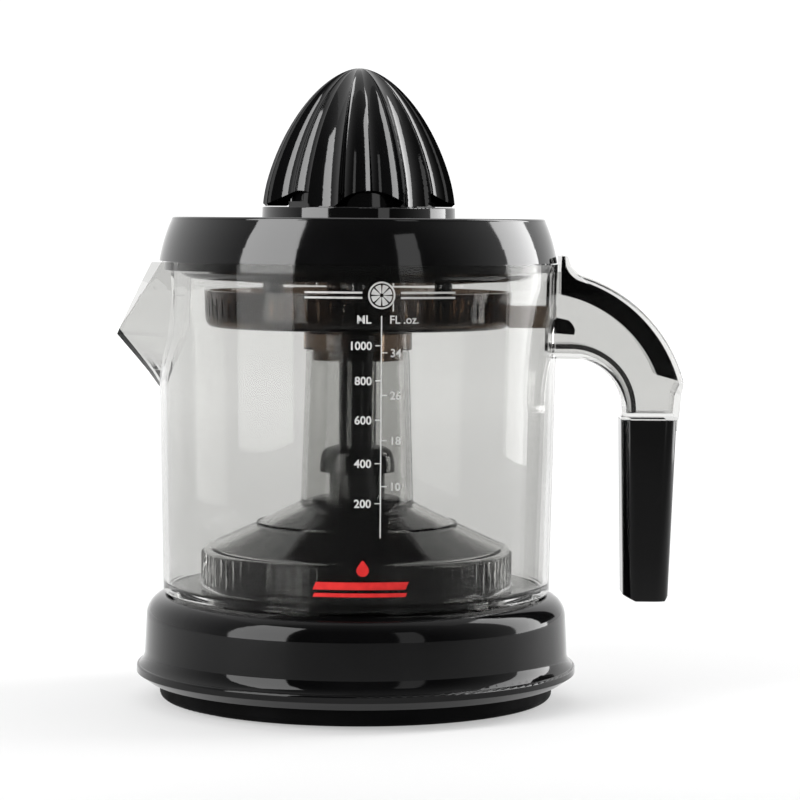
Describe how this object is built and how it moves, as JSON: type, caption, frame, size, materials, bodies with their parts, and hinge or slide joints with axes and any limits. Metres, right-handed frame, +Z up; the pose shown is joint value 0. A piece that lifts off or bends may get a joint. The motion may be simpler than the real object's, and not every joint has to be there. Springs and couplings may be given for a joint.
{
  "type": "citrus press juicer",
  "caption": "Electric citrus press with a clear spouted jug over a motor base, a collector bowl with strainer, and a fluted reamer cone that starts the motor when pressed.",
  "frame": {"origin": "on the drive shaft's axis, at the plane the feet stand on", "axes": "+Z up, +X towards the jug's handle, -X towards the spout, +Y towards the cord gland at the back"},
  "size_m": [0.2117, 0.1646, 0.2355],
  "materials": {
    "reamer_black": "high-gloss black ABS",
    "collector_black": "high-gloss black ABS",
    "strainer_smoke": "glossy dark smoke plastic",
    "bush_acetal": "natural acetal",
    "jug_clear": "clear, lightly smoked SAN, polished",
    "handle_black": "high-gloss black ABS",
    "handle_smoke": "dark smoke plastic",
    "shaft_black": "black acetal, semi-gloss",
    "bush_bronze": "oil-filled bronze",
    "seal_rubber": "black rubber",
    "base_black": "high-gloss black ABS",
    "base_matte": "fine-textured black ABS",
    "steel": "zinc-plated steel",
    "terminal_white": "natural nylon",
    "plate_steel": "zinc-plated sheet steel",
    "gear_acetal": "natural acetal",
    "laminations": "varnished silicon steel",
    "copper": "enamelled copper wire",
    "switch_black": "black phenolic",
    "button_red": "red nylon"
  },
  "bodies": {
    "base": {"base_housing": "base_black", "bottom_plate": "base_matte", "rubber_feet": "seal_rubber", "bottom_screws": "steel", "cord_gland": "seal_rubber", "terminal_block": "terminal_white", "gearbox_plate": "plate_steel", "plate_screws": "steel", "gear_axle": "steel", "axle_clip": "steel", "stator_core": "laminations", "coil_bobbin": "terminal_white", "coil_winding": "copper", "motor_bracket_lower": "plate_steel", "motor_bracket_upper": "plate_steel", "motor_bushes": "bush_bronze", "motor_spacers": "plate_steel", "motor_screws": "steel", "switch_bracket": "plate_steel", "microswitch": "switch_black", "guide_tube": "shaft_black", "upper_bush": "bush_bronze", "lower_bush": "bush_bronze", "shaft_seal": "seal_rubber", "thrust_washer": "steel"},
    "output_wheel": {"output_gear": "gear_acetal", "spring_washer": "steel", "return_spring": "steel"},
    "intermediate_wheel": {"compound_gear": "gear_acetal"},
    "rotor": {"motor_shaft": "steel", "motor_rotor": "laminations", "motor_pinion": "bush_bronze"},
    "shaft": {"drive_shaft": "shaft_black", "splash_flinger": "shaft_black"},
    "button": {"switch_button": "button_red"},
    "jug_body": {"jug": "jug_clear", "handle_spine": "handle_black", "handle_liner": "handle_smoke", "handle_grip": "handle_black", "handle_clip": "jug_clear", "strainer_stop": "handle_black"},
    "collector_body": {"collector": "collector_black", "strainer": "strainer_smoke"},
    "bush": {"guide_bush": "bush_acetal"},
    "small_cone": {"reamer_cone_small": "reamer_black"},
    "large_cone": {"reamer_cone_large": "reamer_black"}
  },
  "joints": [
    {"name": "jug_lift", "type": "slide", "parent": "base", "child": "jug_body", "axis": [0, 0, 1], "range_m": [0, 0.17]},
    {"name": "collector_lift", "type": "slide", "parent": "jug_body", "child": "collector_body", "axis": [0, 0, 1], "range_m": [0, 0.06]},
    {"name": "cone_press", "type": "slide", "parent": "collector_body", "child": "bush", "axis": [0, 0, 1], "range_m": [-0.0015, 0], "stiffness_N_per_m": 3000, "springref_m": 0.002},
    {"name": "cone_spin", "type": "hinge", "parent": "bush", "child": "small_cone", "pos_m": [0, 0, 0.17], "axis": [0, 0, 1], "continuous": true},
    {"name": "cone_lift", "type": "slide", "parent": "small_cone", "child": "large_cone", "axis": [0, 0, 1], "range_m": [0, 0.06]},
    {"name": "output_spin", "type": "hinge", "parent": "base", "child": "output_wheel", "pos_m": [0, 0, 0.054], "axis": [0, 0, 1], "continuous": true},
    {"name": "shaft_press", "type": "slide", "parent": "output_wheel", "child": "shaft", "axis": [0, 0, 1], "range_m": [-0.0015, 0], "deforming": ["return_spring"]},
    {"name": "button_press", "type": "slide", "parent": "base", "child": "button", "axis": [0, 0, 1], "range_m": [-0.0015, 0]},
    {"name": "intermediate_spin", "type": "hinge", "parent": "base", "child": "intermediate_wheel", "pos_m": [0, 0.02812, 0.05], "axis": [0, 0, 1], "continuous": true},
    {"name": "rotor_spin", "type": "hinge", "parent": "base", "child": "rotor", "pos_m": [0.02407, 0.02167, 0.023], "axis": [0, 0, 1], "continuous": true}
  ],
  "couplings": [
    {"joint": "intermediate_spin", "follows": "rotor_spin", "ratio": -0.24},
    {"joint": "output_spin", "follows": "rotor_spin", "ratio": 0.049655},
    {"joint": "cone_spin", "follows": "rotor_spin", "ratio": 0.049655},
    {"joint": "shaft_press", "follows": "cone_press", "ratio": 1},
    {"joint": "button_press", "follows": "cone_press", "ratio": 1}
  ]
}
